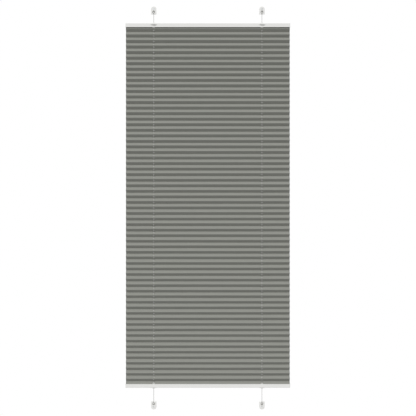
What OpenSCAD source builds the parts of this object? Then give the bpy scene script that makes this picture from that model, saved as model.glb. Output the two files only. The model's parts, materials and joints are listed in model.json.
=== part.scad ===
// Pleated blind held by taut cords between four sash clamps.
// X runs along the rails, Y from the room to the window, Z up.
// The origin is the middle of the blind, on the plane of the sash's front face.

/* [Blind] */
// Width over the end caps
blind_w = 900; // [700:1:1400]
// Number of full pleats
pleats = 64; // [8:1:90]
// Height that one pleat takes
pleat_pitch = 30.36; // [25:0.01:36]
// Width of one fabric leaf, from fold to fold
leaf_w = 20; // [18.8:0.1:22]
// Thickness of the fabric
fabric_t = 0.3; // [0.2:0.05:0.5]
// Height from the first fold up to the top rail
top_drop = 8.7; // [3:0.1:12]
// Space between the fabric's edge and the rail's end
fabric_inset = 0.5; // [0.2:0.1:2]

/* [Cords] */
// Distance between the two cords
cord_spread = 592; // [300:1:820]
// Diameter of a cord
cord_d = 2; // [1:0.1:2.2]
// Diameter of the punched holes in the fabric
hole_d = 4.5; // [3:0.1:6]
// Bare cord between the top rail and its shoes
cord_above = 51.6; // [20:0.1:200]
// Bare cord between the bottom rail and its shoes
cord_below = 77.3; // [20:0.1:200]
// Diameter of the stopper knots
knot_d = 3.6; // [3:0.1:4.4]
// Radial space between a cord and the bore that it runs in
cord_gap = 0.5; // [0.3:0.05:0.7]
// Space between a stopper knot and the knob that it bears on
knot_gap = 0.05; // [0.02:0.01:0.1]

/* [Rails] */
// Depth of the rails from front to back
rail_d = 20; // [19:0.1:24]
// Height of the top rail
top_rail_h = 21.2; // [18:0.1:28]
// Height of the bottom rail
bottom_rail_h = 20.2; // [18:0.1:28]
// Wall of the extrusion
rail_wall = 1.1; // [0.9:0.05:1.4]
// Thickness of the lips that hold the strip
lip_t = 1.2; // [0.9:0.05:1.6]
// Opening between the lips
rail_opening = 14; // [13:0.1:14.6]
// Radius of the rail's outer corners
corner_r = 1.5; // [1:0.1:3]
// Width of the ribs that keep the strip down
rib_w = 1.2; // [0.8:0.1:1.5]
// Height of those ribs
rib_h = 0.8; // [0.6:0.1:1.2]
// Space between the back of the rails and the sash
rail_gap = 3; // [2:0.1:6]

/* [End caps] */
// Thickness of an end cap's plate
cap_t = 2; // [1.5:0.1:5]
// Bevel round an end cap's outer face
cap_bevel = 0.6; // [0.3:0.1:1]
// Length of an end cap's plug
plug_l = 8; // [5:0.5:14]
// Wall of the plug
plug_wall = 1.5; // [1:0.1:2]
// Space round the plug
plug_gap = 0.1; // [0.05:0.05:0.2]

/* [Fabric strips] */
// Thickness of the strips that carry the fabric's ends
strip_t = 1.6; // [1.2:0.1:2]
// Play of a strip in its groove
strip_gap = 0.2; // [0.1:0.05:0.3]
// Space between the fabric and the lips
fabric_gap = 0.35; // [0.2:0.05:0.6]

/* [Finger tabs] */
// Width of the half-round tab on the top rail's front
tab_w = 36; // [24:1:44]
// How far the tab stands out in front of the rail
tab_out = 7.5; // [4:0.5:10]
// Thickness of the tab
tab_t = 1.4; // [1:0.1:2]
// Distance from the rail's top down to the tab
tab_drop = 5.9; // [3:0.1:8]
// Width of the tab's foot in the rail's slot
foot_w = 14; // [8:0.5:20]
// Depth of the foot behind the rail's front
foot_d = 2.8; // [2:0.1:3]
// Space round the foot
foot_gap = 0.1; // [0.05:0.05:0.2]
// Height of the grip ridges
ridge_h = 0.4; // [0.2:0.1:0.6]
// How much shorter each ridge is at either end than the one behind it
ridge_step = 3; // [2:0.5:4]

/* [Cord guides] */
// Width of the guide's flange on the rail's outer face
flange_w = 36; // [24:1:44]
// Depth of the flange
flange_d = 17; // [15:0.5:18]
// Thickness of the flange
flange_t = 0.8; // [0.6:0.1:1.2]
// Radius of the collar round the funnel's mouth
collar_r = 8; // [7:0.5:8.5]
// Height of the collar above the flange
collar_h = 2.4; // [0.8:0.1:3]
// Bevel of the collar's edge
collar_bevel = 0.8; // [0.3:0.1:0.8]
// Wall of the guide's tube
guide_wall = 1.4; // [1:0.1:2]
// How far the nozzle stands out of the rail towards the fabric
nozzle_h = 2.4; // [1:0.1:3]
// Diameter of the funnel's mouth
funnel_d = 9; // [6:0.5:10]
// Depth of the funnel
funnel_h = 4; // [3:0.1:4.4]
// Width of the windows for the crossing cords
window_w = 7.4; // [6.6:0.1:8]
// Space between the guide and the rail or strip
guide_gap = 0.2; // [0.1:0.05:0.3]

/* [Cords and spring in the rails] */
// Distance from the middle of the rail to a cord lane
lane_y = 2.4; // [2.3:0.1:2.6]
// Height of the cord lanes above the ribs that keep the strip down
lane_rise = 6; // [5:0.1:7]
// Difference in height between the two crossing cords
lane_step = 2.5; // [2.3:0.1:3]
// Length of the coiled part of the spring
spring_l = 48; // [30:1:90]
// Outer diameter of the spring
spring_d = 6.6; // [5:0.1:8]
// Diameter of the spring's wire
wire_d = 0.8; // [0.6:0.05:1]
// Number of turns
spring_turns = 20; // [10:1:24]
// Radius of the hooks at the spring's ends
hook_r = 2.2; // [2:0.1:3]
// Radial space between a hook and its post
hook_play = 0.8; // [0.4:0.1:1]
// Distance between the two posts of a spring eye
eye_l = 9; // [7:0.5:14]
// Thickness of a spring eye's plates
eye_t = 1.2; // [0.8:0.1:1.6]
// How far a spring eye's plates reach past the cord
eye_rim = 0.6; // [0.3:0.1:1]
// Space between a spring eye and the cord or wire round it
post_gap = 0.2; // [0.1:0.05:0.3]

/* [Tension shoes] */
// Width of a shoe
shoe_w = 28.5; // [28:0.5:40]
// Height of a shoe
shoe_h = 41; // [39:0.5:60]
// How far a shoe's front stands before the cord
shoe_reach = 5.2; // [5:0.1:14]
// Wall of a shoe
shoe_wall = 2.2; // [1.6:0.1:3]
// Bevel round a shoe's front
shoe_bevel = 1.6; // [0.5:0.1:2]
// Width of the pit for the knob
pit_w = 13; // [11:0.1:15]
// Height of the pit
pit_h = 13.6; // [13:0.1:14]
// Height of the lip that the knob bears on
shoe_lip = 5; // [4:0.1:5.5]
// Width of the slot for the cord
slot_w = 3.6; // [3.5:0.1:6]
// Diameter of the knob at a cord's end
knob_d = 8.4; // [7:0.1:9]
// Height of the knob
knob_h = 8; // [7:0.1:8.5]
// Depth of the knob's grooves
knob_groove = 0.5; // [0.3:0.1:0.8]

/* [Sash clamps] */
// Thickness of the window sash that is clamped
sash_t = 20; // [16:0.5:24]
// Thinnest sash that the clamp takes
sash_min = 15; // [14:0.5:15.5]
// Thickness of the soft pads
pad_t = 1; // [0.6:0.1:1.5]
// Space between a pad's edge and the edges round it
pad_inset = 1; // [0.5:0.1:2]
// Thickness of the clamp's plate and channel floor
base_t = 2; // [1.5:0.1:3]
// How far the plate stays inside the shoe's outline
base_inset = 1.5; // [1:0.1:2.5]
// Width of the clamp's arm
arm_w = 22.5; // [22:0.5:27]
// How much shorter the channel's floor is than the thinnest sash
arm_short = 1; // [0.5:0.5:3]
// Thickness of the arm's side walls
arm_wall = 2; // [1.5:0.1:2.5]
// Length of the arm's side walls behind the sash's front
arm_wall_l = 20; // [18:0.5:24]
// Play of the jaw in the arm
jaw_gap = 0.2; // [0.15:0.05:0.3]
// Height of the jaw's block
jaw_h = 8.6; // [7.5:0.1:10]
// Thickness of the jaw's leg
jaw_t = 3; // [2.5:0.1:4]
// Distance from the shoe's flat end to the jaw's lower end
jaw_low = 6.5; // [1:0.5:7]
// Radius of the jaw's lower corners
jaw_r = 3; // [1:0.5:5]
// Height of the ribs on the jaw's back
jaw_rib = 2; // [1:0.1:3]

/* [Clamp screws] */
// Diameter of the screw
screw_d = 4; // [3:0.1:5]
// Diameter of its head
head_d = 7; // [6.5:0.1:7.5]
// Height of its head
head_h = 3.6; // [3:0.1:4]
// Size of the hexagon socket across its flats
socket_w = 3; // [2.5:0.1:3.5]
// Depth of the socket
socket_h = 2; // [1.5:0.1:2.5]
// Space round the head in the shoe
head_gap = 0.5; // [0.4:0.1:1]
// Radial space between the screw and the jaw's thread
thread_gap = 0.05; // [0.02:0.01:0.08]
// Radial space between the screw and the holes that it passes
shank_gap = 0.3; // [0.2:0.05:0.5]

/* [Hidden] */
$fn = 64;
cut = 1; // how far a cutting solid runs past a face
skin = 0.01; // thinnest layer that a hull spans

fabric_grey = "#8c8d87";
rail_white = "#e8e9e6";
plastic_white = "#e4e4e1";
cord_grey = "#8d8d89";
steel_grey = "#b9bcbf";
pad_grey = "#c9c9c4";

// Places across the blind, and from the room to the window
rail_l = blind_w - 2 * cap_t;
cord_x = cord_spread / 2;
cord_y = -(rail_d / 2 + rail_gap);
cord_bore = cord_d / 2 + cord_gap;

// Heights; the fabric's ends lie flat on the strips inside the rails
strip_low = lip_t + strip_gap / 2;
leaf_z = strip_low - fabric_t / 2;
fabric_h = top_drop + pleats * pleat_pitch - leaf_z;
total_h = 2 * shoe_h + cord_above + top_rail_h + fabric_h + bottom_rail_h + cord_below;
top_shoe_z = total_h / 2 - shoe_h;
fabric_top_z = top_shoe_z - cord_above - top_rail_h;
fabric_low_z = fabric_top_z - fabric_h;
low_shoe_z = fabric_low_z - bottom_rail_h - cord_below;

// Inside of a rail, measured from its fabric side outwards
inner_half = rail_d / 2 - rail_wall;
rib_low = strip_low + strip_t + strip_gap;
lane_z = rib_low + rib_h + lane_rise;
nozzle_r = rail_opening / 2 - guide_gap;
tab_r = (pow(tab_w / 2, 2) + pow(tab_out, 2)) / (2 * tab_out);
tab_z = top_rail_h - tab_drop - tab_t;

// Spring and its eyes, in the bottom rail
wire_r = wire_d / 2;
post_r = hook_r - wire_r - hook_play;
cord_post_r = lane_y - cord_d / 2 - post_gap;
hook_x = spring_l / 2 + hook_r;
spring_post_x = hook_x + hook_r - wire_r - post_r - post_gap / 2;
cord_post_x = spring_post_x + eye_l;
eye_half = lane_y + cord_d / 2 + eye_rim;
eye_end_r = spring_post_x - spring_l / 2 - wire_r - post_gap;
eye_space = max(cord_d, wire_d) / 2 + post_gap;

// Shoe and clamp, measured from the shoe's flat end outwards
base_y = -pad_t - base_t;
shoe_y = cord_y - shoe_reach;
screw_z = shoe_h - shoe_w / 2;
seat_y = shoe_y + head_h + head_gap;
knob_r = knob_d / 2;
knot_z = shoe_lip + knob_h + sqrt(pow(knot_d / 2, 2) - pow(cord_bore, 2)) + knot_gap;
pit_y = cord_y + knob_r + cord_gap;
jaw_w = arm_w - 2 * arm_wall - 2 * jaw_gap;
jaw_rib_x = jaw_w / 3;
jaw_z = screw_z - jaw_h / 2;
edge_z = jaw_z - jaw_gap - base_t;
jaw_front = sash_t - sash_min;
jaw_y = sash_t + pad_t;
arm_l = sash_min - arm_short;

rail_sides = [["top", 1], ["bottom", -1]];
hands = [["left", -1], ["right", 1]];
corners = [for (s = rail_sides, h = hands) [str(s[0], "_", h[0]), h[1], s[1]]];

function rail_h(side) = side > 0 ? top_rail_h : bottom_rail_h;

// Moves a rail's own space, with its fabric side at 0, to the top or bottom rail
module on_rail(side) {
    translate([0, cord_y, side > 0 ? fabric_top_z : fabric_low_z])
        mirror([0, 0, side > 0 ? 0 : 1])
            children();
}

// Moves a clamp's own space, with the shoe's flat end at 0, to one of the four corners
module at_corner(c) {
    translate([c[1] * cord_x, 0, c[2] > 0 ? top_shoe_z : low_shoe_z])
        mirror([0, 0, c[2] > 0 ? 0 : 1])
            children();
}

// Runs an outline drawn in Y and Z along X, centred
module along_x(l) {
    translate([-l / 2, 0, 0])
        rotate([90, 0, 90])
            linear_extrude(l)
                children();
}

// Cylinder along Y from y0 to y1
module rod_y(r0, r1, y0, y1, z = 0) {
    translate([0, y0, z])
        rotate([-90, 0, 0])
            cylinder(h = y1 - y0, r1 = r0, r2 = r1);
}

// Plate with one round end, from y0 to y1
module arch(w, h, y0, y1) {
    translate([-w / 2, y0, 0])
        cube([w, y1 - y0, h - w / 2]);
    rod_y(w / 2, w / 2, y0, y1, h - w / 2);
}

// Fabric

pleat_half = sqrt(pow(leaf_w, 2) - pow(pleat_pitch / 2, 2)) / 2;
tail_y = rail_opening / 2 - fabric_gap - fabric_t / 2;
start_y = pleat_half * (4 * (top_drop + leaf_z) / pleat_pitch - 1);

// Middle line of the cloth: a flap glued to the strip, the folds, and the other glued flap
function cloth_line() = concat(
    [[tail_y, fabric_h + leaf_z], [start_y, fabric_h + leaf_z]],
    [for (i = [0 : 2 * pleats])
        [i % 2 == 0 ? -pleat_half : pleat_half, fabric_h - top_drop - i * pleat_pitch / 2]],
    [[tail_y, -leaf_z]]
);

function side_of(a, b) = let (d = b - a) [-d[1], d[0]] / norm(d);

// The line moved sideways by d, with sharp corners
function moved(p, d) = let (last = len(p) - 1) [
    for (i = [0 : last])
        let (
            before = side_of(p[max(i - 1, 0)], p[max(i, 1)]),
            after = side_of(p[min(i, last - 1)], p[min(i + 1, last)])
        )
        p[i] + d * (before + after) / (1 + before * after)
];

module pleated_fabric() {
    line = cloth_line();
    front = moved(line, fabric_t / 2);
    back = moved(line, -fabric_t / 2);
    clear_r = nozzle_r + fabric_gap;
    clear_h = nozzle_h + fabric_gap;
    color(fabric_grey)
        translate([0, cord_y, fabric_low_z])
            difference() {
                along_x(rail_l - 2 * fabric_inset)
                    polygon(concat(front, [for (i = [len(back) - 1 : -1 : 0]) back[i]]));
                for (x = [-cord_x, cord_x], end = [0, 1])
                    translate([x, 0, end * fabric_h])
                        mirror([0, 0, 1 - end]) {
                            translate([0, 0, -clear_h])
                                cylinder(h = clear_h + rib_low, r = clear_r);
                            translate([-clear_r, -rail_opening / 2, -clear_h])
                                cube([2 * clear_r, rail_opening / 2, clear_h + rib_low]);
                        }
                for (x = [-cord_x, cord_x])
                    translate([x, 0, 0])
                        cylinder(h = fabric_h, r = hole_d / 2);
            }
}

// Rails

module rail_outline(h) {
    translate([-rail_d / 2, 0])
        square([rail_d, h - corner_r]);
    translate([corner_r - rail_d / 2, 0])
        square([rail_d - 2 * corner_r, h]);
    for (s = [-1, 1])
        translate([s * (rail_d / 2 - corner_r), h - corner_r])
            circle(corner_r);
}

module rail_section(h) {
    difference() {
        rail_outline(h);
        difference() {
            translate([-inner_half, lip_t])
                square([2 * inner_half, h - rail_wall - lip_t]);
            for (s = [-1, 1])
                translate([s * inner_half - rib_w, rib_low])
                    square([2 * rib_w, rib_h]);
        }
        translate([-rail_opening / 2, -cut])
            square([rail_opening, lip_t + 2 * cut]);
    }
}

module rail(side) {
    h = rail_h(side);
    color(rail_white)
        on_rail(side)
            difference() {
                along_x(rail_l)
                    rail_section(h);
                for (x = [-cord_x, cord_x])
                    translate([x, 0, h - rail_wall - cut])
                        cylinder(h = rail_wall + 2 * cut, r = nozzle_r + guide_gap);
                if (side > 0)
                    for (x = [-cord_x, cord_x])
                        translate([x - foot_w / 2 - foot_gap, -rail_d / 2 - cut, tab_z - foot_gap])
                            cube([foot_w + 2 * foot_gap, rail_wall + 2 * cut, tab_t + 2 * foot_gap]);
            }
}

// Half-round shelf on the top rail's front, with ridges on top and a foot in the rail's slot
module finger_tab(hand) {
    front = -rail_d / 2;
    color(plastic_white)
        on_rail(1)
            translate([hand * cord_x, 0, tab_z])
                union() {
                    linear_extrude(tab_t) {
                        intersection() {
                            translate([0, front + tab_r - tab_out])
                                circle(tab_r);
                            translate([-tab_w / 2, front - tab_out])
                                square([tab_w, tab_out]);
                        }
                        translate([-foot_w / 2, front - tab_out / 2])
                            square([foot_w, foot_d + tab_out / 2]);
                    }
                    for (i = [1 : 3])
                        let (ridge_l = tab_w - 2 * (i + 1) * ridge_step)
                            translate([-ridge_l / 2, front - i * tab_out / 4 - ridge_h, tab_t / 2])
                                cube([ridge_l, ridge_h, tab_t / 2 + ridge_h]);
                }
}

module fabric_strip(side) {
    half = inner_half - strip_gap;
    l = rail_l - 2 * fabric_inset;
    color(plastic_white)
        on_rail(side)
            difference() {
                translate([-l / 2, -half, strip_low])
                    cube([l, 2 * half, strip_t]);
                for (x = [-cord_x, cord_x])
                    translate([x, 0, strip_low - cut])
                        cylinder(h = strip_t + 2 * cut, r = nozzle_r + guide_gap);
            }
}

module end_cap(side, hand) {
    h = rail_h(side);
    low = rib_low + rib_h + plug_gap;
    high = h - rail_wall - plug_gap;
    half = inner_half - plug_gap;
    color(plastic_white)
        on_rail(side)
            mirror([hand > 0 ? 0 : 1, 0, 0])
                translate([rail_l / 2, 0, 0])
                    union() {
                        hull() {
                            rotate([90, 0, 90])
                                linear_extrude(cap_t - cap_bevel)
                                    rail_outline(h, $fn = 32);
                            translate([cap_t - skin, 0, 0])
                                rotate([90, 0, 90])
                                    linear_extrude(skin)
                                        offset(delta = -cap_bevel)
                                            rail_outline(h, $fn = 32);
                        }
                        difference() {
                            translate([-plug_l, -half, low])
                                cube([plug_l, 2 * half, high - low]);
                            translate([-plug_l - cut, plug_wall - half, low + plug_wall])
                                cube([plug_l + cut, 2 * (half - plug_wall), high - low - 2 * plug_wall]);
                        }
                    }
}

// Flange with a collar and a funnel outside, a hollow tube through the rail, and a nozzle at the fabric
module cord_guide(side, hand) {
    h = rail_h(side);
    rim = h + flange_t;
    top = rim + collar_h;
    end_x = (flange_w - flange_d) / 2;
    room_low = rib_low;
    room_high = top - funnel_h - guide_wall;
    color(plastic_white)
        on_rail(side)
            translate([hand * cord_x, 0, 0])
                difference() {
                    union() {
                        translate([0, 0, -nozzle_h])
                            cylinder(h = nozzle_h + h, r = nozzle_r);
                        translate([0, 0, h])
                            linear_extrude(flange_t) {
                                square([2 * end_x, flange_d], center = true);
                                for (x = [-end_x, end_x])
                                    translate([x, 0])
                                        circle(flange_d / 2);
                            }
                        translate([0, 0, rim - flange_t / 2])
                            cylinder(h = collar_h + flange_t / 2 - collar_bevel, r = collar_r);
                        translate([0, 0, top - collar_bevel])
                            cylinder(h = collar_bevel, r1 = collar_r, r2 = collar_r - collar_bevel);
                    }
                    translate([0, 0, -nozzle_h - cut])
                        cylinder(h = top + nozzle_h + 2 * cut, r = cord_bore);
                    translate([0, 0, top - funnel_h])
                        cylinder(h = funnel_h, r1 = cord_bore, r2 = funnel_d / 2);
                    translate([0, 0, -nozzle_h])
                        cylinder(h = nozzle_h, r1 = 2 * cord_bore, r2 = cord_bore);
                    translate([0, 0, room_low])
                        cylinder(h = room_high - room_low, r = nozzle_r - guide_wall);
                    translate([-nozzle_r - cut, -window_w / 2, rib_low + rib_h + cut])
                        cube([2 * (nozzle_r + cut), window_w, room_high - rib_low - rib_h - 2 * cut]);
                }
}

// Cords

module tension_cord(hand) {
    low = low_shoe_z - knot_z;
    high = top_shoe_z + knot_z;
    color(cord_grey)
        translate([hand * cord_x, cord_y, 0])
            union() {
                translate([0, 0, low])
                    cylinder(h = high - low, r = cord_d / 2);
                for (z = [low, high])
                    translate([0, 0, z])
                        sphere(knot_d / 2);
            }
}

module crossing_cord(lane) {
    color(cord_grey)
        on_rail(1)
            translate([-cord_x, lane * lane_y, lane_z + lane * lane_step / 2])
                rotate([0, 90, 0])
                    cylinder(h = cord_spread, r = cord_d / 2);
}

module cord_loop(hand) {
    color(cord_grey)
        on_rail(-1)
            mirror([hand > 0 ? 0 : 1, 0, 0])
                translate([cord_post_x, 0, lane_z])
                    union() {
                        for (y = [-lane_y, lane_y])
                            translate([0, y, 0])
                                rotate([0, 90, 0])
                                    cylinder(h = cord_x - cord_post_x, r = cord_d / 2);
                        rotate([0, 0, 90])
                            rotate_extrude(angle = 180)
                                translate([lane_y, 0])
                                    circle(cord_d / 2);
                    }
}

// Spring between the two cord loops

// Points on the ring of the wire's section at one place along the coil
function wire_ring(t, r, l, sides) = [
    for (k = [0 : sides - 1])
        let (a = 360 * spring_turns * t, b = 360 * k / sides, q = r + wire_r * cos(b))
        [l * (t - 0.5) + wire_r * sin(b), q * cos(a), q * sin(a)]
];

module coil(r, l) {
    sides = 5;
    steps = 10 * spring_turns;
    points = [for (i = [0 : steps]) each wire_ring(i / steps, r, l, sides)];
    skin = [
        for (i = [0 : steps - 1], k = [0 : sides - 1])
            let (a = i * sides + k, b = i * sides + (k + 1) % sides)
            [a, b, b + sides, a + sides]
    ];
    start = [for (k = [sides - 1 : -1 : 0]) k];
    end = [for (k = [0 : sides - 1]) steps * sides + k];
    polyhedron(points, concat([start, end], skin));
}

module tension_spring() {
    r = spring_d / 2 - wire_r;
    color(steel_grey)
        on_rail(-1)
            translate([0, 0, lane_z])
                union() {
                    coil(r, spring_l);
                    for (s = [-1, 1]) {
                        translate([s * spring_l / 2, 0, 0])
                            rotate([-90, 0, 0])
                                cylinder(h = r, r = wire_r, $fn = 12);
                        translate([s * hook_x, 0, 0])
                            rotate_extrude($fn = 32)
                                translate([hook_r, 0])
                                    circle(wire_r, $fn = 8);
                    }
                }
}

module spring_eye(hand) {
    color(plastic_white)
        on_rail(-1)
            mirror([hand > 0 ? 0 : 1, 0, 0])
                translate([0, 0, lane_z])
                    union() {
                        for (s = [0, 1])
                            mirror([0, 0, s])
                                translate([0, 0, eye_space])
                                    linear_extrude(eye_t) {
                                        translate([spring_post_x, 0])
                                            circle(eye_end_r);
                                        translate([cord_post_x, 0])
                                            circle(eye_half);
                                        polygon([
                                            [spring_post_x, -eye_end_r], [cord_post_x, -eye_half],
                                            [cord_post_x, eye_half], [spring_post_x, eye_end_r]
                                        ]);
                                    }
                        for (p = [[spring_post_x, post_r], [cord_post_x, cord_post_r]])
                            translate([p[0], 0, -eye_space - eye_t / 2])
                                cylinder(h = 2 * eye_space + eye_t, r = p[1]);
                    }
}

// Tension shoe: a hollow housing with a pit for the knob and a slot for the cord

module shoe_body() {
    front = shoe_y + shoe_bevel;
    arch(shoe_w, shoe_h, front, base_y);
    rod_y(shoe_w / 2 - shoe_bevel, shoe_w / 2, shoe_y, front, screw_z);
    linear_extrude(screw_z)
        polygon([
            [-shoe_w / 2, front], [shoe_w / 2, front],
            [shoe_w / 2 - shoe_bevel, shoe_y], [shoe_bevel - shoe_w / 2, shoe_y]
        ]);
}

module shoe_room() {
    boss_r = head_d / 2 + head_gap + shoe_wall / 2;
    pit_wall = shoe_wall / 2;
    difference() {
        translate([0, 0, shoe_wall])
            arch(shoe_w - 2 * shoe_wall, shoe_h - 2 * shoe_wall, shoe_y + shoe_wall, base_y + cut);
        rod_y(boss_r, boss_r, shoe_y, base_y + 2 * cut, screw_z);
        translate([-pit_w / 2 - pit_wall, shoe_y, 0])
            cube([pit_w + 2 * pit_wall, pit_y + pit_wall - shoe_y, shoe_lip + pit_h + pit_wall]);
    }
}

module tension_shoe() {
    hole_r = screw_d / 2 + shank_gap;
    seat_r = head_d / 2 + head_gap;
    color(plastic_white)
        difference() {
            shoe_body();
            shoe_room();
            translate([0, 0, shoe_lip])
                arch(pit_w, pit_h, shoe_y - cut, pit_y);
            translate([-slot_w / 2, shoe_y - cut, -cut])
                cube([slot_w, cord_y - shoe_y + cut, shoe_lip + 2 * cut]);
            translate([0, cord_y, -cut])
                cylinder(h = shoe_lip + 2 * cut, r = slot_w / 2);
            rod_y(seat_r, seat_r, shoe_y - cut, seat_y, screw_z);
            rod_y(hole_r, hole_r, shoe_y, base_y + cut, screw_z);
        }
}

module cord_knob() {
    color(cord_grey)
        translate([0, cord_y, shoe_lip])
            difference() {
                cylinder(h = knob_h, r = knob_r);
                for (i = [1 : 3])
                    translate([0, 0, i * knob_h / 4])
                        rotate_extrude()
                            translate([knob_r, 0])
                                circle(knob_groove);
                translate([0, 0, -cut])
                    cylinder(h = knob_h + 2 * cut, r = cord_bore);
            }
}

// Sash clamp: a plate on the sash's face, a channel over its edge and a hooked jaw behind it

module arm_side() {
    r = jaw_h / 2;
    high = jaw_z + jaw_h + jaw_gap;
    translate([base_y + base_t / 2, edge_z])
        square([arm_wall_l - r - base_y - base_t / 2, high - edge_z]);
    translate([base_y + base_t / 2, edge_z])
        square([arm_wall_l - base_y - base_t / 2, high - edge_z - r]);
    translate([arm_wall_l - r, high - r])
        circle(r);
}

module clamp_base() {
    hole_r = screw_d / 2 + shank_gap;
    color(plastic_white)
        difference() {
            union() {
                translate([0, 0, base_inset])
                    arch(shoe_w - 2 * base_inset, shoe_h - 2 * base_inset, base_y, -pad_t);
                translate([-arm_w / 2, base_y + base_t / 2, edge_z])
                    cube([arm_w, arm_l - base_y - base_t / 2, base_t]);
                for (x = [-1, 1])
                    translate([x * (arm_w - arm_wall) / 2, 0, 0])
                        along_x(arm_wall)
                            arm_side();
                translate([-arm_w / 2, -pad_t - base_t / 2, edge_z - pad_inset])
                    cube([arm_w, pad_t + base_t / 2, pad_inset + base_t / 2]);
            }
            rod_y(hole_r, hole_r, base_y - cut, cut, screw_z);
        }
}

module face_pad() {
    w = shoe_w - 2 * base_inset - 2 * pad_inset;
    low = base_inset + pad_inset;
    color(pad_grey)
        translate([-w / 2, -pad_t, low])
            cube([w, pad_t, edge_z - pad_inset - low]);
}

module jaw_leg() {
    translate([-jaw_w / 2, jaw_low + jaw_r])
        square([jaw_w, jaw_z + jaw_h - jaw_low - jaw_r]);
    translate([jaw_r - jaw_w / 2, jaw_low])
        square([jaw_w - 2 * jaw_r, jaw_z - jaw_low]);
    for (x = [-1, 1])
        translate([x * (jaw_w / 2 - jaw_r), jaw_low + jaw_r])
            circle(jaw_r);
}

module clamp_jaw() {
    back = jaw_y + jaw_t;
    hole_r = screw_d / 2 + thread_gap;
    color(plastic_white)
        difference() {
            union() {
                translate([-jaw_w / 2, jaw_front, jaw_z])
                    cube([jaw_w, jaw_y + jaw_t / 2 - jaw_front, jaw_h]);
                translate([0, back, 0])
                    rotate([90, 0, 0])
                        linear_extrude(jaw_t)
                            jaw_leg();
                for (x = [-1, 1])
                    translate([x * jaw_rib_x, 0, 0])
                        along_x(jaw_t / 2)
                            polygon([
                                [back - jaw_t / 2, jaw_low + jaw_r], [back, jaw_low + jaw_r],
                                [back + jaw_rib, jaw_z], [back + jaw_rib, jaw_z + jaw_h],
                                [back - jaw_t / 2, jaw_z + jaw_h]
                            ]);
            }
            rod_y(hole_r, hole_r, jaw_front - cut, back + cut, screw_z);
        }
}

module jaw_pad() {
    w = jaw_w - 2 * pad_inset;
    low = jaw_low + pad_inset;
    color(pad_grey)
        translate([-w / 2, sash_t, low])
            cube([w, pad_t, edge_z - pad_inset - low]);
}

module clamp_screw() {
    color(steel_grey)
        difference() {
            union() {
                rod_y(head_d / 2, head_d / 2, seat_y - head_h, seat_y, screw_z);
                rod_y(screw_d / 2, screw_d / 2, seat_y - head_h / 2, jaw_y + jaw_t, screw_z);
            }
            translate([0, seat_y - head_h - cut, screw_z])
                rotate([-90, 0, 0])
                    cylinder(h = socket_h + cut, d = socket_w / cos(30), $fn = 6);
        }
}

pleated_fabric();
crossing_cord(-1);  // crossing_cord_front
crossing_cord(1);  // crossing_cord_back
tension_spring();
for (s = rail_sides) {
    rail(s[1]);
    fabric_strip(s[1]);
}
for (h = hands) {
    tension_cord(h[1]);
    spring_eye(h[1]);
    cord_loop(h[1]);
    finger_tab(h[1]);
}
for (c = corners) {
    end_cap(c[2], c[1]);
    cord_guide(c[2], c[1]);
    at_corner(c) tension_shoe();
    at_corner(c) cord_knob();
    at_corner(c) clamp_base();
    at_corner(c) face_pad();
    at_corner(c) clamp_jaw();
    at_corner(c) jaw_pad();
    at_corner(c) clamp_screw();
}
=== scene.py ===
import json
import math
import bmesh
import bpy
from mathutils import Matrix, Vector, noise


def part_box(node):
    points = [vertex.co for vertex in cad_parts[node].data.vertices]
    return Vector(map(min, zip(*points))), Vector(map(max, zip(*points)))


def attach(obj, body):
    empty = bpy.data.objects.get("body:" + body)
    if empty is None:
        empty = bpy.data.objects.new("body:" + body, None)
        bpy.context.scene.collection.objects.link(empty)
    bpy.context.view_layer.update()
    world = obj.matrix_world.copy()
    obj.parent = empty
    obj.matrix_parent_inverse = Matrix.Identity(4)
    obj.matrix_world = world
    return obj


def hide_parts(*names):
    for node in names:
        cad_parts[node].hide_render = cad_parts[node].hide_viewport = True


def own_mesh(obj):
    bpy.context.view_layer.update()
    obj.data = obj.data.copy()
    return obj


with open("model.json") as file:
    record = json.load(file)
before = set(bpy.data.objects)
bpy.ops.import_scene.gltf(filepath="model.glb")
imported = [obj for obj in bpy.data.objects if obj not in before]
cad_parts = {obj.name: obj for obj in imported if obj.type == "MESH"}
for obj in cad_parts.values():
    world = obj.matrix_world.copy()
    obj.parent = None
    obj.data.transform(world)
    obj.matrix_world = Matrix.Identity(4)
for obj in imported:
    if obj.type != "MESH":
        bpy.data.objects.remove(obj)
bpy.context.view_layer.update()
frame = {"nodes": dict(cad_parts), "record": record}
nodes = frame["nodes"]
scene = bpy.context.scene
scene.view_settings.view_transform = "Standard"
corners = ["top_left", "top_right", "bottom_left", "bottom_right"]
hands = {"left": -1, "right": 1}  # the side of the blind, seen from the room
print("frame loaded,", len(nodes), "nodes")


# Camera: level with the middle of the blind and square to it
camera = {
    "distance": 5.449,  # from the front folds
    "viewAngle": 23.57,  # degrees across the picture
    "across": 0.0009,  # the blind hangs a hair left of the picture's middle
    "up": -0.0007,
    "sensorWidth": 36,
    "farEnd": 50,
}
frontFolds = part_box("pleated_fabric")[0].y


def placeCamera():
    data = bpy.data.cameras.new("camera")
    data.sensor_width = camera["sensorWidth"]
    data.angle = math.radians(camera["viewAngle"])
    data.clip_end = camera["farEnd"]
    obj = bpy.data.objects.new("camera", data)
    obj.location = (camera["across"], frontFolds - camera["distance"], camera["up"])
    obj.rotation_euler = (math.radians(90), 0, 0)
    scene.collection.objects.link(obj)
    scene.camera = obj


placeCamera()


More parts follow.
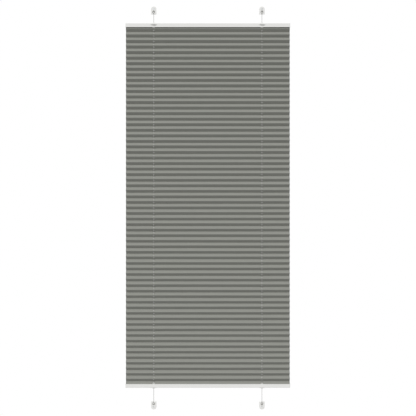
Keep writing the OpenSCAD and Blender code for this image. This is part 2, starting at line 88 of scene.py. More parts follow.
# Studio: a soft key from the upper left, a weak fill from the right, a lamp for the back, white all round
studio = {
    "lamps": {  # strength, the direction that it shines from, and how wide it looks in degrees
        "key": (1.95, (-0.6, -1.0, 1.05), 20),
        "fill": (0.45, (0.9, -1.0, 0.45), 40),
        "back": (1.0, (0.5, 1.0, 0.35), 40),
    },
    "surround": 0.46,
    "floorZ": -2.4,
    "floorRadius": 1.7,
    "floorSides": 96,
    "floorRoughness": 0.9,
    "floorFade": 0.7,  # from here outwards the floor runs into the white behind it
    "floorGrey": "#c6c6c6",  # to the light that it throws back at the blind
    "floorWhite": "#fafafa",  # to the eye
}


def hexColor(text):
    # sRGB hex to linear
    parts = [int(text[i:i + 2], 16) / 255 for i in (1, 3, 5)]
    linear = [c / 12.92 if c <= 0.04045 else ((c + 0.055) / 1.055) ** 2.4 for c in parts]
    return (*linear, 1)


def addNode(tree, kind, settings, links=()):
    # settings are the node's own options or its input sockets, links are (socket, source)
    node = tree.nodes.new(kind)
    for name, value in settings.items():
        if isinstance(name, int) or name in node.inputs:
            node.inputs[name].default_value = value
        else:
            setattr(node, name, value)
    for name, source in links:
        tree.links.new(source, node.inputs[name])
    return node


def addSun(name, strength, direction, softness):
    data = bpy.data.lights.new(name, "SUN")
    data.energy = strength
    data.angle = math.radians(softness)
    obj = bpy.data.objects.new(name, data)
    obj.rotation_euler = Vector(direction).to_track_quat("Z", "Y").to_euler()
    scene.collection.objects.link(obj)


def seenAsWhite(tree):
    # 1 for the eye, and for what it sees in metal or through glass; 0 for the light on the blind
    path = addNode(tree, "ShaderNodeLightPath", {})
    straight = addNode(tree, "ShaderNodeMath", {"operation": "MAXIMUM"}, [
        (0, path.outputs["Is Camera Ray"]), (1, path.outputs["Is Glossy Ray"])])
    seen = addNode(tree, "ShaderNodeMath", {"operation": "MAXIMUM"}, [
        (0, straight.outputs[0]), (1, path.outputs["Is Transmission Ray"])])
    return seen.outputs[0]


def setWorld():
    world = bpy.data.worlds.new("studio")
    world.use_nodes = True
    scene.world = world
    tree = world.node_tree
    tree.nodes.clear()
    light = addNode(tree, "ShaderNodeBackground", {"Color": (1, 1, 1, 1), "Strength": studio["surround"]})
    white = addNode(tree, "ShaderNodeBackground", {"Color": (1, 1, 1, 1), "Strength": 1.0})
    mix = addNode(tree, "ShaderNodeMixShader", {}, [
        (0, seenAsWhite(tree)), (1, light.outputs[0]), (2, white.outputs[0])])
    addNode(tree, "ShaderNodeOutputWorld", {}, [("Surface", mix.outputs[0])])


def newMaterial(name):
    material = bpy.data.materials.new(name)
    material.use_nodes = True
    tree = material.node_tree
    return material, tree, tree.nodes["Principled BSDF"]


# Uncoated backdrop paper: dead flat white that takes a soft shadow, clear towards the floor's rim
def backdropPaper():
    material, tree, shader = newMaterial("white_backdrop_paper")
    shader.inputs["Roughness"].default_value = studio["floorRoughness"]
    seen = seenAsWhite(tree)
    tones = {"data_type": "RGBA", 6: hexColor(studio["floorGrey"]), 7: hexColor(studio["floorWhite"])}
    tone = addNode(tree, "ShaderNodeMix", tones, [(0, seen)])
    tree.links.new(tone.outputs[2], shader.inputs["Base Color"])
    place = addNode(tree, "ShaderNodeTexCoord", {})
    fromMiddle = addNode(tree, "ShaderNodeVectorMath", {"operation": "LENGTH"},
                         [(0, place.outputs["Object"])])
    fading = {"interpolation_type": "SMOOTHSTEP", 1: studio["floorFade"], 2: studio["floorRadius"]}
    fade = addNode(tree, "ShaderNodeMapRange", fading, [(0, fromMiddle.outputs["Value"])])
    clear = addNode(tree, "ShaderNodeMath", {"operation": "MULTIPLY"}, [(0, fade.outputs[0]), (1, seen)])
    nothing = addNode(tree, "ShaderNodeBsdfTransparent", {})
    both = addNode(tree, "ShaderNodeMixShader", {}, [
        (0, clear.outputs[0]), (1, shader.outputs[0]), (2, nothing.outputs[0])])
    tree.links.new(both.outputs[0], tree.nodes["Material Output"].inputs["Surface"])
    return material


def makeFloor():
    bpy.ops.mesh.primitive_circle_add(
        vertices=studio["floorSides"], radius=studio["floorRadius"], fill_type="NGON",
        location=(0, 0, studio["floorZ"]))
    floor = bpy.context.object
    floor.name = "floor"
    floor.data.materials.append(backdropPaper())


for name, (strength, direction, softness) in studio["lamps"].items():
    addSun(name, strength, direction, softness)
setWorld()
makeFloor()
print("studio lit")


# Woven polyester, heat-set in pleats: dry and matte, with a faint grid of warp and weft and a faint slub.
# Along each side edge the colour runs darker in a narrow band
weave = {
    "low": "#868781",
    "high": "#91928c",
    "thread": 0.0009,  # two threads, drawn coarser than real ones so that they show
    "threadShare": 0.18,  # how much of the colour's change follows the threads
    "slub": 420,  # about so many in a metre of height
    "slubLength": 0.04,  # they run across the blind, 25 times as long as wide
    "slubDetail": 3.0,
    "bump": 0.35,
    "bumpHeight": 0.0001,
    "roughness": 0.92,
    "gloss": 0.2,
    "sheen": 0.05,
    "edgeDark": "#6f706b",
    "edgeDarkWidth": 0.0045,  # how far in the darker band runs
    "half": (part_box("pleated_fabric")[1].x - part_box("pleated_fabric")[0].x) / 2,
}


def wovenPolyester():
    material, tree, shader = newMaterial("woven_polyester")
    uv = addNode(tree, "ShaderNodeUVMap", {"uv_map": "cloth"})
    axes = addNode(tree, "ShaderNodeSeparateXYZ", {}, [(0, uv.outputs[0])])
    threads = []
    for axis in ("X", "Y"):
        turn = addNode(tree, "ShaderNodeMath", {"operation": "MULTIPLY", 1: 2 * math.pi / weave["thread"]},
                       [(0, axes.outputs[axis])])
        threads.append(addNode(tree, "ShaderNodeMath", {"operation": "SINE"}, [(0, turn.outputs[0])]))
    crossing = addNode(tree, "ShaderNodeMath", {"operation": "MULTIPLY"},
                       [(0, threads[0].outputs[0]), (1, threads[1].outputs[0])])
    stretched = addNode(tree, "ShaderNodeMapping", {"Scale": (weave["slubLength"], 1, 1)},
                        [("Vector", uv.outputs[0])])
    slub = addNode(tree, "ShaderNodeTexNoise", {"Scale": weave["slub"], "Detail": weave["slubDetail"]},
                   [("Vector", stretched.outputs[0])])
    both = addNode(tree, "ShaderNodeMath", {"operation": "MULTIPLY_ADD", 1: weave["threadShare"]},
                   [(0, crossing.outputs[0]), (2, slub.outputs["Fac"])])
    tones = {"data_type": "RGBA", 6: hexColor(weave["low"]), 7: hexColor(weave["high"])}
    body = addNode(tree, "ShaderNodeMix", tones, [(0, both.outputs[0])])
    # a narrow band along each side edge is coloured darker
    fromMiddle = addNode(tree, "ShaderNodeMath", {"operation": "ABSOLUTE"}, [(0, axes.outputs["X"])])
    edge = addNode(tree, "ShaderNodeMapRange", {1: weave["half"] - weave["edgeDarkWidth"], 2: weave["half"]},
                   [(0, fromMiddle.outputs[0])])
    edgeDark = addNode(tree, "ShaderNodeMix", {"data_type": "RGBA", 7: hexColor(weave["edgeDark"])},
                     [(0, edge.outputs[0]), (6, body.outputs[2])])
    bump = addNode(tree, "ShaderNodeBump", {"Strength": weave["bump"], "Distance": weave["bumpHeight"]},
                   [("Height", crossing.outputs[0])])
    tree.links.new(edgeDark.outputs[2], shader.inputs["Base Color"])
    tree.links.new(bump.outputs[0], shader.inputs["Normal"])
    shader.inputs["Roughness"].default_value = weave["roughness"]
    shader.inputs["Specular IOR Level"].default_value = weave["gloss"]
    shader.inputs["Sheen Weight"].default_value = weave["sheen"]
    return material


# Braided polyester cord: strands that cross over each other leave a row of small grey diamonds, with
# painted shade: the colour is darker in the grooves between the strands and lighter on their crowns
braid = {
    "low": "#6f6f6c",
    "high": "#979793",
    "strands": 8,
    "rise": 0.0024,  # along the cord, from one diamond to the next
    "bump": 0.6,
    "bumpHeight": 0.00008,
    "roughness": 0.75,
    "sheen": 0.1,
}


def braidedPolyester():
    material, tree, shader = newMaterial("braided_polyester_cord")
    uv = addNode(tree, "ShaderNodeUVMap", {"uv_map": "braid"})
    axes = addNode(tree, "ShaderNodeSeparateXYZ", {}, [(0, uv.outputs[0])])
    around = addNode(tree, "ShaderNodeMath", {"operation": "MULTIPLY", 1: 2 * math.pi * braid["strands"]},
                     [(0, axes.outputs["X"])])
    along = addNode(tree, "ShaderNodeMath", {"operation": "MULTIPLY", 1: 2 * math.pi / braid["rise"]},
                    [(0, axes.outputs["Y"])])
    ways = []
    for way in ("ADD", "SUBTRACT"):
        both = addNode(tree, "ShaderNodeMath", {"operation": way},
                       [(0, around.outputs[0]), (1, along.outputs[0])])
        ways.append(addNode(tree, "ShaderNodeMath", {"operation": "SINE"}, [(0, both.outputs[0])]))
    strands = addNode(tree, "ShaderNodeMath", {"operation": "MAXIMUM"},
                      [(0, ways[0].outputs[0]), (1, ways[1].outputs[0])])
    # painted shade: the tone runs from low in the grooves between the strands to high on their crowns
    shade = addNode(tree, "ShaderNodeMapRange", {1: -1.0, 2: 1.0}, [(0, strands.outputs[0])])
    tones = {"data_type": "RGBA", 6: hexColor(braid["low"]), 7: hexColor(braid["high"])}
    body = addNode(tree, "ShaderNodeMix", tones, [(0, shade.outputs[0])])
    bump = addNode(tree, "ShaderNodeBump", {"Strength": braid["bump"], "Distance": braid["bumpHeight"]},
                   [("Height", strands.outputs[0])])
    tree.links.new(body.outputs[2], shader.inputs["Base Color"])
    tree.links.new(bump.outputs[0], shader.inputs["Normal"])
    shader.inputs["Roughness"].default_value = braid["roughness"]
    shader.inputs["Sheen Weight"].default_value = braid["sheen"]
    return material


# Plain finishes: two close tones that drift into each other, and a fine grain of a real size in metres
plainFinishes = {
    # baked on as powder, so it flows out satin and even, with a faint orange peel
    "rail": {"name": "powder_coated_aluminium", "low": "#e1e1de", "high": "#e4e4e2",
             "roughness": 0.42, "grain": 0.0012, "depth": 0.00006},
    # a dense slippery plastic: clean white with a soft wide gloss, and the fine grain of the mould
    "white_plastic": {"name": "moulded_white_acetal", "low": "#e2e2df", "high": "#e6e6e4",
                      "roughness": 0.38, "grain": 0.0006, "depth": 0.00004},
    # straight from the die: duller and a little greyer than the mouldings
    "inner_plastic": {"name": "extruded_pvc", "low": "#d9d9d6", "high": "#dfdfdb",
                      "roughness": 0.5, "grain": 0.0008, "depth": 0.00004},
    # undyed nylon, slightly warmer and less glossy than the shoe round it
    "knob_plastic": {"name": "moulded_pale_nylon", "low": "#dcdcd9", "high": "#e2e2df",
                     "roughness": 0.45, "grain": 0.0006, "depth": 0.00004},
    # cut from a closed-cell sheet: dead matte, with small open cells on the face
    "soft_pad": {"name": "foam_rubber", "low": "#c4c4bf", "high": "#cfcfca",
                 "roughness": 0.9, "grain": 0.0007, "depth": 0.00015},
    # cold drawn and bare, so it has bright narrow highlights along the wire
    "spring_steel": {"name": "spring_wire", "low": "#b7babd", "high": "#c3c5c8",
                     "roughness": 0.28, "grain": 0.0006, "depth": 0.00003, "metallic": 1.0},
    # plated in a tumbling drum, which leaves a bluish white metal with a satin gloss
    "screw_steel": {"name": "zinc_plated_steel", "low": "#d0d3d5", "high": "#dbdee0",
                    "roughness": 0.36, "grain": 0.0005, "depth": 0.00003, "metallic": 1.0},
}
cloudsPerMetre = 14
noiseDetail = 2.0
grainBump = 0.25


def plainFinish(look):
    material, tree, shader = newMaterial(look["name"])
    place = addNode(tree, "ShaderNodeTexCoord", {})
    cloud = addNode(tree, "ShaderNodeTexNoise", {"Scale": cloudsPerMetre, "Detail": noiseDetail},
                    [("Vector", place.outputs["Object"])])
    grain = addNode(tree, "ShaderNodeTexNoise", {"Scale": 1 / look["grain"], "Detail": noiseDetail},
                    [("Vector", place.outputs["Object"])])
    tones = {"data_type": "RGBA", 6: hexColor(look["low"]), 7: hexColor(look["high"])}
    tone = addNode(tree, "ShaderNodeMix", tones, [(0, cloud.outputs["Fac"])])
    bump = addNode(tree, "ShaderNodeBump", {"Strength": grainBump, "Distance": look["depth"]},
                   [("Height", grain.outputs["Fac"])])
    tree.links.new(tone.outputs[2], shader.inputs["Base Color"])
    tree.links.new(bump.outputs[0], shader.inputs["Normal"])
    shader.inputs["Roughness"].default_value = look["roughness"]
    shader.inputs["Metallic"].default_value = look.get("metallic", 0.0)
    return material


finishes = {slot: plainFinish(look) for slot, look in plainFinishes.items()}
finishes["cord"] = braidedPolyester()
finishes["fabric"] = wovenPolyester()
for part in frame["record"]["subparts"]:
    holder = nodes[part["node"]].data
    holder.materials.clear()
    holder.materials.append(finishes[part["material_slot"]])
print("finishes set")


# Shared by all pieces


def deselectAll():
    bpy.ops.object.select_all(action="DESELECT")


def makeActive(obj):
    deselectAll()
    obj.select_set(True)
    bpy.context.view_layer.objects.active = obj


def joinInto(target, pieces):
    deselectAll()
    for obj in pieces:
        obj.select_set(True)
    bpy.context.view_layer.objects.active = target
    bpy.ops.object.join()


def setPlace(obj, place, turn=(0, 0, 0)):
    # the place and the turn go into the mesh, and the object stays at the origin
    obj.location = place
    obj.rotation_euler = turn
    makeActive(obj)
    bpy.ops.object.transform_apply(location=True, rotation=True, scale=True)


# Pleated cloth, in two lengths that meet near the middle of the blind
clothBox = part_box("pleated_fabric")
cloth = {
    "width": clothBox[1].x - clothBox[0].x + 0.0008,  # the side edges stand a hair past the solid
    "pleats": 64,
    "topDrop": 0.0087,  # from the top rail down to the first fold
    "leaf": 0.020,
    "thickness": 0.0003,
    "flapEnd": 0.0065,  # how far behind the rail's middle the glued flaps reach
    "inRail": 0.00115,  # how far inside the rails they lie
    "holeRadius": 0.00228,  # a ring of 16 points with the area of a round hole of 4.5 mm
    "holeBlock": 0.0032,  # half of the square of cells that a hole is cut from
    "notchHalf": 0.00715,  # cut-out round a cord guide's nozzle
    "notchHeight": 0.00275,
    "columns": 24,
    "columnGap": 0.006,  # no even column comes nearer than this to a hole's own columns
    "crease": 0.0001,  # how far a fold's tip stands out, where the cloth was pressed
    "bow": 0.00022,
    "bowChange": 2.3,  # radians from leaf to leaf
    "sway": 0.00035,
    "driftGrain": (3.1, 9, 2.5),  # changes in a metre across and along, and where the noise starts
    "riseGrain": (2.3, 31, 7.5),
    "heldAbove": 0.004,  # the rails hold the cloth true as far as this from them
    "heldBelow": 0.002,
    "creaseAngle": 50,  # degrees, above which an edge shows as an edge
}
# rows of each leaf, as shares of the way from one fold to the next
leafSteps = [0.0, 0.02, 0.18, 0.345, 0.5, 0.655, 0.82, 0.98]
holeStep = 0.5
splitStep = 0.82
railMiddleY = (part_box("top_rail")[0].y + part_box("top_rail")[1].y) / 2
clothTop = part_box("top_rail")[0].z
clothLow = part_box("bottom_rail")[1].z
pitch = (clothTop - clothLow - cloth["topDrop"] + cloth["inRail"]) / cloth["pleats"]
foldDepth = math.sqrt(cloth["leaf"] ** 2 - (pitch / 2) ** 2) / 2
cordX = (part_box("cord_right")[0].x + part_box("cord_right")[1].x) / 2


def clothRow(y, z, hole=False, split=False):
    return {"y": y, "z": z, "hole": hole, "split": split}


def clothRows():
    # rows across the cloth from top to bottom
    leaves = 2 * cloth["pleats"]
    startZ = clothTop - cloth["topDrop"]
    slant = 4 * foldDepth / pitch
    flapY = railMiddleY + cloth["flapEnd"]
    rows = [clothRow(flapY, clothTop + cloth["inRail"])]
    for rise in (cloth["inRail"], cloth["inRail"] / 2, 0, -cloth["notchHeight"]):
        z = clothTop + rise
        rows.append(clothRow(railMiddleY - foldDepth + slant * (z - startZ), z))
    notchStep = 1 - 2 * (cloth["inRail"] + cloth["notchHeight"]) / pitch  # upper end of the low cut-outs
    for leaf in range(leaves):
        way = 1 if leaf % 2 == 0 else -1
        bow = cloth["bow"] * math.sin(leaf * cloth["bowChange"])
        steps = sorted(leafSteps + [notchStep]) if leaf == leaves - 1 else leafSteps
        for step in steps:
            y = railMiddleY + way * foldDepth * (2 * step - 1)
            z = startZ - (leaf + step) * pitch / 2
            lift = bow * math.sin(math.pi * step)
            tip = way * cloth["crease"] if step == 0 else 0
            split = leaf == cloth["pleats"] - 1 and step == splitStep
            rows.append(clothRow(y + lift + tip, z, step == holeStep, split))
    rows.append(clothRow(railMiddleY - foldDepth, clothLow - cloth["inRail"]))
    rows.append(clothRow(flapY, clothLow - cloth["inRail"]))
    return rows


def clothColumns():
    half = cloth["width"] / 2
    block, notch = cloth["holeBlock"], cloth["notchHalf"]
    near = [side * cordX + d for side in (-1, 1) for d in (-notch, -block, 0, block, notch)]
    even = [-half + cloth["width"] * i / cloth["columns"] for i in range(cloth["columns"] + 1)]
    return sorted(near + [x for x in even if all(abs(x - n) > cloth["columnGap"] for n in near)])


def inNotch(x, z):
    beside = abs(abs(x) - cordX) < cloth["notchHalf"]
    return beside and (z > clothTop - cloth["notchHeight"] or z < clothLow + cloth["notchHeight"])


def waver(x, length, grain):
    across, along, start = grain
    return noise.noise((x * across, length * along, start)) * cloth["sway"]


def settled(x, y, z, length):
    # the folds of real cloth run a hair out of true
    if z > clothTop - cloth["heldAbove"] or z < clothLow + cloth["heldBelow"]:
        return (x, y, z)
    return (x, y + waver(x, length, cloth["driftGrain"]), z + waver(x, length, cloth["riseGrain"]))


def punchHole(points, places, wide, r, m):
    # eight faces between a hole's edge and the square of cells round it, from the upper left onwards
    around = [(r - 1, m - 1), (r - 1, m), (r - 1, m + 1), (r, m + 1),
              (r + 1, m + 1), (r + 1, m), (r + 1, m - 1), (r, m - 1)]
    block = [row * wide + column for row, column in around]
    middle = Vector(points[r * wide + m])
    down = (Vector(points[(r + 1) * wide + m]) - Vector(points[(r - 1) * wide + m])).normalized()
    x, length = places[r * wide + m]
    ring = []
    for k in range(2 * len(block)):
        angle = math.radians(225) + math.pi * k / len(block)
        side = cloth["holeRadius"] * math.cos(angle)
        fall = cloth["holeRadius"] * math.sin(angle)
        ring.append(len(points))
        points.append(tuple(middle + Vector((side, 0, 0)) + down * fall))
        places.append((x + side, length + fall))
    block.append(block[0])
    ring.append(ring[0])
    return [(block[k], block[k + 1], ring[2 * k + 2], ring[2 * k + 1], ring[2 * k])
            for k in range(len(around))]


def clothFaces(rows, columns, points, places):
    wide = len(columns)
    faces = []
    punched = set()
    for r in [i for i, row in enumerate(rows) if row["hole"]]:
        for m in [columns.index(side * cordX) for side in (-1, 1)]:
            faces += punchHole(points, places, wide, r, m)
            punched.update([(r - 1, m - 1), (r - 1, m), (r, m - 1), (r, m)])
    for r in range(len(rows) - 1):
        middleZ = (rows[r]["z"] + rows[r + 1]["z"]) / 2
        for c in range(wide - 1):
            middleX = (columns[c] + columns[c + 1]) / 2
            if (r, c) not in punched and not inNotch(middleX, middleZ):
                a = r * wide + c
                faces.append((a, a + 1, a + wide + 1, a + wide))
    return faces


def dropLoosePoints(mesh):
    bm = bmesh.new()
    bm.from_mesh(mesh)
    used = {v for f in bm.faces for v in f.verts}
    bmesh.ops.delete(bm, geom=[v for v in bm.verts if v not in used], context="VERTS")
    bm.to_mesh(mesh)
    bm.free()


def makeCloth(name, rows, lengths):
    columns = clothColumns()
    points = []
    places = []
    for row, length in zip(rows, lengths):
        for x in columns:
            points.append(settled(x, row["y"], row["z"], length))
            places.append((x, length))
    faces = clothFaces(rows, columns, points, places)
    mesh = bpy.data.meshes.new(name)
    mesh.from_pydata(points, [], faces)
    layer = mesh.uv_layers.new(name="cloth")
    for loop in mesh.loops:
        layer.data[loop.index].uv = places[loop.vertex_index]
    dropLoosePoints(mesh)
    obj = bpy.data.objects.new(name, mesh)
    scene.collection.objects.link(obj)
    makeActive(obj)
    thick = obj.modifiers.new("thickness", "SOLIDIFY")
    thick.thickness = cloth["thickness"]
    thick.offset = 0
    bpy.ops.object.modifier_apply(modifier="thickness")
    bpy.ops.object.shade_smooth_by_angle(angle=math.radians(cloth["creaseAngle"]))
    obj.data.materials.append(finishes["fabric"])
    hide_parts("pleated_fabric")
    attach(obj, "root")
    return obj


def hangCloth():
    rows = clothRows()
    lengths = [0.0]
    for a, b in zip(rows, rows[1:]):
        lengths.append(lengths[-1] + math.dist((a["y"], a["z"]), (b["y"], b["z"])))
    cutAt = [i for i, row in enumerate(rows) if row["split"]][0]
    middleZ = rows[cutAt]["z"]
    parts = [
        ("fabric_upper", 0, cutAt, "top_rail_slide", clothTop - middleZ),
        ("fabric_lower", cutAt, len(rows) - 1, "bottom_rail_slide", middleZ - clothLow),
    ]
    for name, first, last, joint, height in parts:
        obj = makeCloth(name, rows[first:last + 1], lengths[first:last + 1])
        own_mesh(obj)
        print(name, "is", round(lengths[last] - lengths[first], 3), "m of cloth")


hangCloth()


# Taut cords with a stopper knot at each end, one tight turn of the cord round itself
cordLow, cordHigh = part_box("crossing_cord_front")
tautCord = {
    "radius": (cordHigh.y - cordLow.y) / 2,
    "sides": 20,
    "steps": 40,
    "knotHigh": 0.0018,  # from the middle of a knot to its outside
    "knotLow": 0.0030,  # from there down to where the straight cord begins
    "neckLow": 0.0012,
    "neckShare": 0.95,  # the cord is drawn a little thinner as it goes into the knot
    "turnRadius": 0.00102,
    "turnCord": 0.00078,  # the cord's radius where it is drawn tight
    "turns": 1.3,
    "turnSteps": 26,
    "swell": 6,  # the turn widens in its first sixth, and tightens from its middle on
    "slack": 1.6,
    "tighten": 1.2,
    "turnLow": -0.0002,
    "turnClimb": 0.0011,
    "endOut": 0.0002,  # the cut end peeps out of the top of the knot
    "endHigh": 0.0014,
    "endShare": 0.8,
}


def knotPath(way):
    # points of (x, y, z, radius) about the knot's middle, from the straight cord to the cut end
    size = tautCord
    points = [(0, 0, -size["knotLow"], size["radius"])]
    points.append((0, 0, -size["neckLow"], size["neckShare"] * size["radius"]))
    for i in range(size["turnSteps"] + 1):
        t = i / size["turnSteps"]
        angle = 2 * math.pi * size["turns"] * t
        out = size["turnRadius"] * min(1, size["swell"] * t, size["slack"] - size["tighten"] * t)
        rise = size["turnLow"] + size["turnClimb"] * t
        points.append((out * math.cos(angle), out * math.sin(angle), rise, size["turnCord"]))
    points.append((size["endOut"], 0, size["endHigh"], size["endShare"] * size["turnCord"]))
    return [(x, y, way * z, r) for x, y, z, r in points]


def tube(name, path, side):
    # path is a list of (x, y, z, radius), and side any direction across its first step
    sides = tautCord["sides"]
    bm = bmesh.new()
    layer = bm.loops.layers.uv.new("braid")
    rings = []
    lengths = []
    length = 0.0
    side = Vector(side)
    for i, (x, y, z, r) in enumerate(path):
        before = Vector(path[max(i - 1, 0)][:3])
        after = Vector(path[min(i + 1, len(path) - 1)][:3])
        ahead = (after - before).normalized()
        side = (side - ahead * side.dot(ahead)).normalized()
        across = ahead.cross(side)
        if i:
            length += (Vector((x, y, z)) - before).length
        lengths.append(length)
        ring = []
        for k in range(sides):
            angle = 2 * math.pi * k / sides
            out = math.cos(angle) * side + math.sin(angle) * across
            ring.append(bm.verts.new(Vector((x, y, z)) + r * out))
        rings.append(ring)
    for i in range(len(rings) - 1):
        for k in range(sides):
            n = (k + 1) % sides
            face = bm.faces.new((rings[i][k], rings[i][n], rings[i + 1][n], rings[i + 1][k]))
            face.smooth = True
            places = [(k, i), (k + 1, i), (k + 1, i + 1), (k, i + 1)]
            for loop, (u, v) in zip(face.loops, places):
                loop[layer].uv = (u / sides, lengths[v])
    bm.faces.new(list(reversed(rings[0])))
    bm.faces.new(rings[-1])
    mesh = bpy.data.meshes.new(name)
    bm.to_mesh(mesh)
    bm.free()
    obj = bpy.data.objects.new(name, mesh)
    scene.collection.objects.link(obj)
    return obj


def finishCord(obj, node, body):
    obj.data.materials.append(finishes["cord"])
    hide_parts(node)
    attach(obj, body)


def stringCords():
    steps = tautCord["steps"]
    for hand in hands:
        low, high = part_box("cord_" + hand)
        x, y = (low.x + high.x) / 2, (low.y + high.y) / 2
        topKnot = high.z - tautCord["knotHigh"]
        lowKnot = low.z + tautCord["knotHigh"]
        path = [(px, py, pz + lowKnot, r) for px, py, pz, r in reversed(knotPath(-1))]
        path += [(0, 0, lowKnot + (topKnot - lowKnot) * i / steps, tautCord["radius"])
                 for i in range(1, steps)]
        path += [(px, py, pz + topKnot, r) for px, py, pz, r in knotPath(1)]
        obj = tube("taut_cord_" + hand, [(x + px, y + py, pz, r) for px, py, pz, r in path], (1, 0, 0))
        finishCord(obj, "cord_" + hand, "root")


# The same cord inside the rails: two runs cross in the top rail, and a loop on each side holds the spring
cordInRail = {"crossingSteps": 24, "laneSteps": 12, "bendSteps": 16}


def crossTopRail():
    for lane in ("front", "back"):
        low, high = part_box("crossing_cord_" + lane)
        middle = (low + high) / 2
        steps = cordInRail["crossingSteps"]
        path = [(low.x + (high.x - low.x) * i / steps, middle.y, middle.z, tautCord["radius"])
                for i in range(steps + 1)]
        obj = tube("braided_crossing_" + lane, path, (0, 0, 1))
        finishCord(obj, "crossing_cord_" + lane, "top_rail_body")


def loopBottomRail():
    radius = tautCord["radius"]
    steps = cordInRail["laneSteps"]
    for hand, way in hands.items():
        low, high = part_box("cord_loop_" + hand)
        middle = (low + high) / 2
        lane = (high.y - low.y) / 2 - radius
        end = middle.x + way * (high.x - low.x) / 2
        bend = middle.x - way * ((high.x - low.x) / 2 - radius - lane)
        along = [end + (bend - end) * i / steps for i in range(steps + 1)]
        path = [(x, middle.y - lane, middle.z, radius) for x in along]
        for i in range(1, cordInRail["bendSteps"]):
            turn = math.pi * i / cordInRail["bendSteps"]
            x = bend - way * lane * math.sin(turn)
            path.append((x, middle.y - lane * math.cos(turn), middle.z, radius))
        path += [(x, middle.y + lane, middle.z, radius) for x in reversed(along)]
        obj = tube("braided_loop_" + hand, path, (0, 0, 1))
        finishCord(obj, "cord_loop_" + hand, "bottom_rail_body")


stringCords()
crossTopRail()
loopBottomRail()
print("cords strung")


# Tension spring of round wire, wound open because it's stretched, with a closed eye at each end
coilSpring = {
    "wire": 0.0004,  # radius
    "sides": 12,
    "turns": 20,
    "steps": 24,  # sides of one turn
    "coil": 0.0029,  # from the axis to the wire's middle
    "length": 0.048,
    "eye": 0.0022,  # radius of each ring, to the wire's middle
    "eyeSides": 36,
    "creaseAngle": 45,
}


def windCoil():
    size = coilSpring
    deselectAll()
    bpy.ops.mesh.primitive_circle_add(
        vertices=size["sides"], radius=size["wire"], location=(-size["length"] / 2, size["coil"], 0))
    coil = bpy.context.object
    bpy.ops.object.transform_apply(location=True, rotation=True, scale=True)
    winding = coil.modifiers.new("winding", "SCREW")
    winding.axis = "X"
    winding.screw_offset = size["length"] / size["turns"]
    winding.iterations = size["turns"]
    winding.steps = size["steps"]
    winding.render_steps = size["steps"]
    bpy.ops.object.modifier_apply(modifier="winding")
    bpy.ops.object.mode_set(mode="EDIT")
    bpy.ops.mesh.select_all(action="SELECT")
    bpy.ops.mesh.fill_holes(sides=size["sides"])
    bpy.ops.mesh.select_all(action="SELECT")
    bpy.ops.mesh.normals_make_consistent(inside=False)
    bpy.ops.object.mode_set(mode="OBJECT")
    return coil


def bendEye(way):
    # a closed ring on the spring's axis, and the short bend of wire that leads to it from the coil
    size = coilSpring
    end = way * size["length"] / 2
    deselectAll()
    bpy.ops.mesh.primitive_torus_add(
        location=(end + way * size["eye"], 0, 0), major_radius=size["eye"], minor_radius=size["wire"],
        major_segments=size["eyeSides"], minor_segments=size["sides"])
    eye = bpy.context.object
    deselectAll()
    bpy.ops.mesh.primitive_cylinder_add(
        vertices=size["sides"], radius=size["wire"], depth=size["coil"],
        location=(end, size["coil"] / 2, 0), rotation=(math.radians(90), 0, 0))
    return [eye, bpy.context.object]


def windSpring():
    coil = windCoil()
    joinInto(coil, [coil] + bendEye(-1) + bendEye(1))
    coil.name = "coil_spring"
    low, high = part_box("tension_spring")
    setPlace(coil, ((low.x + high.x) / 2, railMiddleY, (low.z + high.z) / 2))
    bpy.ops.object.shade_smooth_by_angle(angle=math.radians(coilSpring["creaseAngle"]))
    coil.data.materials.clear()
    coil.data.materials.append(finishes["spring_steel"])
    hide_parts("tension_spring")
    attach(coil, "bottom_rail_body")


windSpring()
print("spring wound")


# Clamp screws: hexagon socket cap screws with a thread of 0.7 mm, zinc plated
clampScrew = {
    "headRadius": 0.0035,
    "headHeight": 0.0036,
    "headSides": 48,
    "headBevel": 0.0004,
    "bevelSteps": 3,
    "bevelRound": 0.5,
    "socketAcross": 0.003,
    "socketDepth": 0.0018,
    "neck": 0.002,  # plain length under the head
    "crest": 0.00199,
    "root": 0.00172,
    "shankSides": 32,
    "pitch": 0.0007,
    "steps": 16,  # sides of one turn of the thread
    "creaseAngle": 35,
}


def makeScrewHead():
    size = clampScrew
    deselectAll()
    bpy.ops.mesh.primitive_cylinder_add(
        vertices=size["headSides"], radius=size["headRadius"], depth=size["headHeight"],
        location=(0, 0, size["headHeight"] / 2))
    head = bpy.context.object
    bm = bmesh.new()
    bm.from_mesh(head.data)
    rim = [e for e in bm.edges if all(v.co.z < 0 for v in e.verts)]
    bmesh.ops.bevel(bm, geom=rim, offset=size["headBevel"], segments=size["bevelSteps"],
                    affect="EDGES", profile=size["bevelRound"])
    bm.to_mesh(head.data)
    bm.free()
    deselectAll()
    bpy.ops.mesh.primitive_cylinder_add(
        vertices=6, radius=size["socketAcross"] / math.sqrt(3), depth=2 * size["socketDepth"])
    socket = bpy.context.object
    hollow = head.modifiers.new("socket", "BOOLEAN")
    hollow.operation = "DIFFERENCE"
    hollow.object = socket
    makeActive(head)
    bpy.ops.object.modifier_apply(modifier="socket")
    bpy.data.objects.remove(socket, do_unlink=True)
    return head


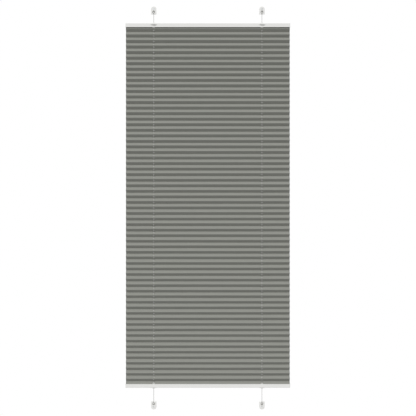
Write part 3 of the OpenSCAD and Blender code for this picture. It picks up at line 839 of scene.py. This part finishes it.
def makeThread(length):
    # a saw-tooth edge turned round the axis with the Screw modifier
    size = clampScrew
    deselectAll()
    bpy.ops.mesh.primitive_plane_add(size=1)
    thread = bpy.context.object
    bpy.ops.object.mode_set(mode="EDIT")
    bpy.ops.mesh.select_all(action="SELECT")
    bpy.ops.mesh.delete(type="ONLY_FACE")
    bpy.ops.object.mode_set(mode="OBJECT")
    bm = bmesh.new()
    bm.from_mesh(thread.data)
    bm.verts.ensure_lookup_table()
    bmesh.ops.delete(bm, geom=[bm.verts[3]], context="VERTS")
    start = size["headHeight"] + size["neck"]
    lowRoot = (size["root"], 0, start)
    highRoot = (size["root"], 0, start + size["pitch"])
    crest = (size["crest"], 0, start + size["pitch"] / 2)
    endsFirst = sorted(bm.verts, key=lambda v: len(v.link_edges) > 1)
    for vert, place in zip(endsFirst, (lowRoot, highRoot, crest)):
        vert.co = place
    bm.to_mesh(thread.data)
    bm.free()
    turning = thread.modifiers.new("turning", "SCREW")
    turning.axis = "Z"
    turning.screw_offset = size["pitch"]
    turning.iterations = round((length - size["neck"]) / size["pitch"]) - 1
    turning.steps = size["steps"]
    turning.render_steps = size["steps"]
    turning.use_merge_vertices = True
    makeActive(thread)
    bpy.ops.object.modifier_apply(modifier="turning")
    return thread


def makeRod(radius, length):
    # a plain length of the screw, from under its head
    deselectAll()
    bpy.ops.mesh.primitive_cylinder_add(
        vertices=clampScrew["shankSides"], radius=radius, depth=length,
        location=(0, 0, clampScrew["headHeight"] + length / 2))
    return bpy.context.object


def makeScrew(length):
    size = clampScrew
    head = makeScrewHead()
    thread = makeThread(length)
    core = makeRod(size["root"], length)
    neck = makeRod(size["crest"], size["neck"])
    joinInto(head, [thread, core, neck, head])
    bpy.ops.object.transform_apply(location=True, rotation=True, scale=True)
    bpy.ops.object.shade_smooth_by_angle(angle=math.radians(size["creaseAngle"]))
    return head


def fitScrews():
    low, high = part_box("clamp_screw_top_left")
    first = makeScrew(high.y - low.y - clampScrew["headHeight"])
    first.data.materials.clear()
    first.data.materials.append(finishes["screw_steel"])
    for corner in corners:
        low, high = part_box("clamp_screw_" + corner)
        screw = first.copy()
        screw.data = first.data.copy()
        screw.name = "socket_screw_" + corner
        scene.collection.objects.link(screw)
        setPlace(screw, ((low.x + high.x) / 2, low.y, (low.z + high.z) / 2), (math.radians(-90), 0, 0))
        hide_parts("clamp_screw_" + corner)
        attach(screw, "screw_body_" + corner)
    bpy.data.objects.remove(first, do_unlink=True)


fitScrews()
print("screws fitted")


# Foam pads of the clamps, die-cut sheet with soft edges and a slightly crowned face
foamPad = {
    "edge": 0.00035,
    "edgeSteps": 3,
    "edgeRound": 0.6,
    "crown": 0.00008,
    "crownPower": 3,  # the face stays flat in its middle and falls off near its rim
    "cuts": 9,
    "fill": 0.9,
    "hair": 0.000001,  # points as near as this to the face lie in it
    "creaseAngle": 40,
}


def crownFace(bm, low, high, way):
    # cuts a grid into the free face, at the side that way points to, and lets it sink towards its rim
    cuts = foamPad["cuts"]
    for axis in (0, 2):
        for i in range(1, cuts):
            place = Vector((0, 0, 0))
            place[axis] = low[axis] + (high[axis] - low[axis]) * i / cuts
            normal = Vector((0, 0, 0))
            normal[axis] = 1
            everything = bm.verts[:] + bm.edges[:] + bm.faces[:]
            bmesh.ops.bisect_plane(bm, geom=everything, plane_co=place, plane_no=normal)
    face = high.y if way > 0 else low.y
    for vert in bm.verts:
        if abs(vert.co.y - face) < foamPad["hair"]:
            u = abs(2 * (vert.co.x - low.x) / (high.x - low.x) - 1)
            w = abs(2 * (vert.co.z - low.z) / (high.z - low.z) - 1)
            vert.co.y -= way * foamPad["crown"] * max(u, w) ** foamPad["crownPower"]


def makePad(node, body, way):
    low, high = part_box(node)
    deselectAll()
    bpy.ops.mesh.primitive_cube_add(size=1, location=(low + high) / 2, scale=high - low)
    pad = bpy.context.object
    pad.name = node.replace("pad", "foam")
    bpy.ops.object.transform_apply(location=True, rotation=True, scale=True)
    bpy.ops.object.mode_set(mode="EDIT")
    bpy.ops.mesh.select_all(action="SELECT")
    bpy.ops.mesh.bevel(
        offset=foamPad["edge"], segments=foamPad["edgeSteps"], profile=foamPad["edgeRound"])
    bpy.ops.object.mode_set(mode="OBJECT")
    bm = bmesh.new()
    bm.from_mesh(pad.data)
    crownFace(bm, low, high, way)
    bm.to_mesh(pad.data)
    bm.free()
    bpy.ops.object.shade_smooth_by_angle(angle=math.radians(foamPad["creaseAngle"]))
    pad.data.materials.append(finishes["soft_pad"])
    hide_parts(node)
    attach(pad, body)


for corner in corners:
    makePad("face_pad_" + corner, "root", 1)
    makePad("jaw_pad_" + corner, "jaw_body_" + corner, -1)
print("pads stuck on")
